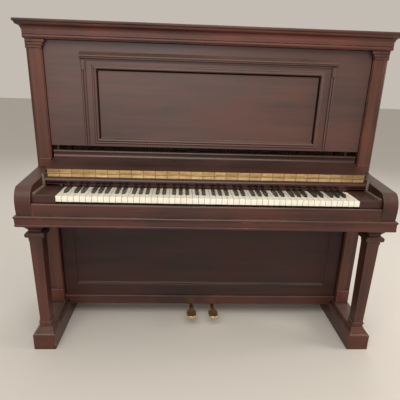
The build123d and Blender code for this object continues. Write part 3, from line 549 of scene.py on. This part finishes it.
def make_timbers():
    """The bare timbers, by name."""
    return {
        "strip": plain_timber("corner_strip", "Y", (0.12, 0.095, 0.07), (0.22, 0.18, 0.14), 0.5),
        "spruce_Z": plain_timber("spruce_Z", "Z", (0.32, 0.19, 0.08), (0.55, 0.38, 0.19)),
        "spruce_Y": plain_timber("spruce_Y", "Y", (0.36, 0.23, 0.11), (0.58, 0.42, 0.23)),
        "timber_Z": plain_timber("timber_Z", "Z", (0.11, 0.055, 0.026), (0.24, 0.135, 0.066)),
        "timber_X": plain_timber("timber_X", "X", (0.11, 0.055, 0.026), (0.24, 0.135, 0.066)),
        "maple_X": plain_timber("maple_X", "X", (0.40, 0.26, 0.13), (0.6, 0.43, 0.25), 0.5),
        "maple_Z": plain_timber("maple_Z", "Z", (0.24, 0.15, 0.07), (0.38, 0.26, 0.14), 0.5),
        # painted shade: a very dark maple for the wippens, standing in for the shade inside the case
        "maple_painted_shade": plain_timber("maple_painted_shade", "Z", (0.045, 0.026, 0.013), (0.085, 0.050, 0.026), 0.6),
    }


def make_metals():
    """The metals, by name."""
    return {
        "fall_hinge": metal(
            "hinge_brass", (0.92, 0.70, 0.37), (0.42, 0.26, 0.11), 0.32, 0.65, hinge_axis_z=FALL_AXIS_Z
        ),
        "lid_hinge": metal(
            "lid_hinge_brass", (0.72, 0.52, 0.26), (0.28, 0.17, 0.08), 0.34, 0.9, hinge_axis_z=LID_AXIS_Z
        ),
        "pedal_brass": metal("pedal_brass", (0.80, 0.62, 0.33), (0.38, 0.24, 0.10), 0.2, 0.5, "Y"),
        "steel": metal("steel", (0.55, 0.55, 0.56), (0.20, 0.17, 0.14), 0.3, 0.5, "Z"),
        "blued_steel": metal("blued_steel", (0.30, 0.31, 0.34), (0.10, 0.09, 0.09), 0.32, 0.6, "Y"),
        "gilt_iron": metal("gilt_iron", (0.42, 0.29, 0.11), (0.18, 0.12, 0.05), 0.5, 0.6, "X", 0.3),
        "dark_iron": metal("dark_iron", (0.12, 0.11, 0.10), (0.05, 0.04, 0.035), 0.55, 0.6, "Z", 0.3),
    }


def make_materials():
    """Every finish on the piano, by name."""
    return {
        **make_woods(),
        **make_timbers(),
        **make_metals(),
        # the felt's dark red is darkened further as painted shade behind the keys
        "red_felt": felt("red_felt", (0.060, 0.007, 0.006), (0.032, 0.007, 0.006), 0.2),
        "white_felt": felt("white_felt", (0.62, 0.57, 0.47), (0.46, 0.41, 0.31)),
        "ivory": ivory_material(),
        "ebony": ebony_material(),
    }


# ---------------------------------------------------------------- pieces from the frame
SAME_PLACE = 1e-6  # corners nearer than this are one
SAME_PLANE = math.radians(0.6)  # faces that turn less than this are one
SHARP_EDGE = math.radians(28)  # edges that turn more than this are rounded
SMOOTH_LIMIT = math.radians(40)  # faces that turn more than this aren't shaded as one


def finished(node_name, material, bevel=1.0, segments=2, pick=None, others=(), cut_y=None):
    """A copy of a CAD node with its edges rounded, which stands for it.

    bevel is the width of the rounding in millimetres, and segments is how many facets it has.
    pick takes a face and says which of the materials it has: 0 is material, 1 and up are others.
    cut_y is a depth where the faces are divided, for a finish that ends there.
    """
    piece = bpy.data.objects.new(node_name + "_finished", frame["nodes"][node_name].data.copy())
    bpy.context.scene.collection.objects.link(piece)
    piece.data.materials.clear()
    for finish in (material, *others):
        piece.data.materials.append(finish)
    mesh = bmesh.new()
    mesh.from_mesh(piece.data)
    bmesh.ops.remove_doubles(mesh, verts=mesh.verts, dist=SAME_PLACE)
    bmesh.ops.dissolve_limit(mesh, angle_limit=SAME_PLANE, verts=mesh.verts, edges=mesh.edges)
    sharp = [e for e in mesh.edges if len(e.link_faces) == 2 and e.calc_face_angle(0) > SHARP_EDGE]
    if bevel:
        bmesh.ops.bevel(
            mesh,
            geom=sharp,
            offset=bevel * MM,
            offset_type="OFFSET",
            segments=segments,
            profile=0.5,
            affect="EDGES",
            clamp_overlap=True,
        )
    if cut_y is not None:
        whole = mesh.verts[:] + mesh.edges[:] + mesh.faces[:]
        bmesh.ops.bisect_plane(mesh, geom=whole, plane_co=(0, cut_y, 0), plane_no=(0, 1, 0))
    for face in mesh.faces:
        face.smooth = True
        face.material_index = pick(face) if pick else 0
    mesh.to_mesh(piece.data)
    mesh.free()
    piece.data.set_sharp_from_angle(angle=SMOOTH_LIMIT)
    weighted = piece.modifiers.new("weighted_normals", "WEIGHTED_NORMAL")
    weighted.keep_sharp = True
    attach(piece, BODY_OF[node_name])
    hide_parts(node_name)


def painted(node_name, material):
    """Gives a CAD node that keeps its own mesh a better finish."""
    piece = frame["nodes"][node_name]
    piece.data.materials.clear()
    piece.data.materials.append(material)


def white_key_faces(face):
    """Ivory on the top and front of what shows of a white key, bare wood elsewhere."""
    if face.calc_center_median().y > VISIBLE_END:
        return 1
    return 0 if face.normal.z > LOOKS_UP or face.normal.y < LOOKS_FORWARD else 1


def black_key_faces(face):
    """Ebony on the sharp, bare wood on its stick."""
    middle = face.calc_center_median()
    return 0 if middle.z > STICK_TOP and middle.y < VISIBLE_END else 1


def key_block_faces(face):
    """The light corner strip that lies on a key block beside the arm."""
    middle = face.calc_center_median()
    return 1 if abs(middle.x) > STRIP_X and middle.z > STRIP_FOOT else 0


def nameboard_faces(face):
    """The fronts of the light corner strips at the nameboard's ends."""
    at_end = abs(face.calc_center_median().x) > STRIP_X
    return 1 if at_end and face.normal.y < LOOKS_FORWARD else 0


def upper_panel_faces(face):
    """The slopes at the top and sides of the sunk field, which get a near-black finish as painted shade. The
    bottom one is as light as the panel.
    """
    slant = abs(face.normal.x) + max(0, -face.normal.z)
    inside = abs(face.calc_center_median().x) < RECESS_REACH
    return 1 if face.normal.y < 0 and SLOPE_LEAST < slant < SLOPE_MOST and inside else 0


def hammer_faces(face):
    """Felt on the striking ends of the hammers."""
    return 1 if face.calc_center_median().y > HAMMER_FELT_Y else 0


def damper_faces(face):
    """Felt on the ends of the dampers that touch the strings."""
    return 1 if face.calc_center_median().y > DAMPER_FELT_Y else 0


def make_keys(finish):
    """The keys, with ivory and ebony covers on wooden sticks."""
    for name in WHITE_KEYS:
        finished(name, finish["ivory"], 0.5, 2, white_key_faces, [finish["spruce_Y"]], VISIBLE_END)
    for name in BLACK_KEYS:
        finished(name, finish["ebony"], 0.8, 3, black_key_faces, [finish["spruce_Y"]], VISIBLE_END)


def make_case(finish):
    """The outer woodwork."""
    for name in ("left_side", "right_side", "front_legs"):
        finished(name, finish["case_Z"], 1.5, 3)
    finished("pilasters", finish["pilaster"], 1.5, 3)
    finished("cornice", finish["cornice"], 1.2)
    finished("bottom_rail", finish["case_X"], 1.2)
    finished("key_blocks", finish["block"], 1.0, 2, key_block_faces, [finish["strip"]])
    for name in ("lid_front", "lid_rear"):
        finished(name, finish["case_X"], 1.5)
    finished("arms", finish["arm"], 2.0, 3)
    finished("toe_blocks", finish["toe"], 2.0, 3)
    finished("keybed", finish["keybed"], 1.5)
    finished("keybed_moulding", finish["moulding"], 1.0)
    finished("key_slip", finish["keybed"], 1.0)
    finished("nameboard", finish["polished"], 1.0, 2, nameboard_faces, [finish["strip"]])
    finished("upper_panel", finish["panel"], 1.2, 2, upper_panel_faces, [finish["groove"]])
    finished("panel_mouldings", finish["panel"], 0.6)
    # the lower panel takes the darker copy, as painted shade
    finished("lower_panel", finish["lower"], 1.2)
    finished("fallboard", finish["polished"], 1.0)


def make_metalwork(finish):
    """Hinges, pedals and brackets."""
    for name in ("fallboard_hinge_fixed", "fallboard_hinge_leaf"):
        painted(name, finish["fall_hinge"])
    for name in ("lid_hinge_fixed", "lid_hinge_leaf"):
        painted(name, finish["lid_hinge"])
    for name in ("pedal_soft", "pedal_sustain"):
        finished(name, finish["pedal_brass"], 1.0, 3)
    for name in ("pedal_brackets", "action_frame"):
        finished(name, finish["dark_iron"], 1.0)
    painted("panel_catch", finish["steel"])


def make_insides(finish):
    """The back, the stringing and the action."""
    finished("back_posts", finish["timber_Z"], 3.0)
    finished("back_beams", finish["timber_X"], 3.0)
    finished("bottom_board", finish["timber_X"], 1.5)
    finished("soundboard_ribs", finish["spruce_Z"], 2.0)
    for name in ("soundboard", "key_frame"):
        painted(name, finish["spruce_Z"])
    for name in ("pin_block", "bridges", "hammer_rail"):
        finished(name, finish["maple_X"], 1.0)
    painted("wippens", finish["maple_painted_shade"])
    painted("iron_plate", finish["gilt_iron"])
    painted("strings", finish["steel"])
    painted("tuning_pins", finish["blued_steel"])
    painted("nameboard_felt", finish["red_felt"])
    for name in ("trap_lever_soft", "trap_lever_sustain"):
        finished(name, finish["timber_X"], 1.0)
    for name in ("soft_rod", "sustain_rod"):
        finished(name, finish["timber_Z"], 0)
    finished("hammers", finish["maple_Z"], 0.4, 1, hammer_faces, [finish["white_felt"]])
    finished("dampers", finish["maple_Z"], 0.4, 1, damper_faces, [finish["white_felt"]])


make_camera()
make_stage()
FINISH = make_materials()
make_case(FINISH)
make_keys(FINISH)
make_metalwork(FINISH)
make_insides(FINISH)
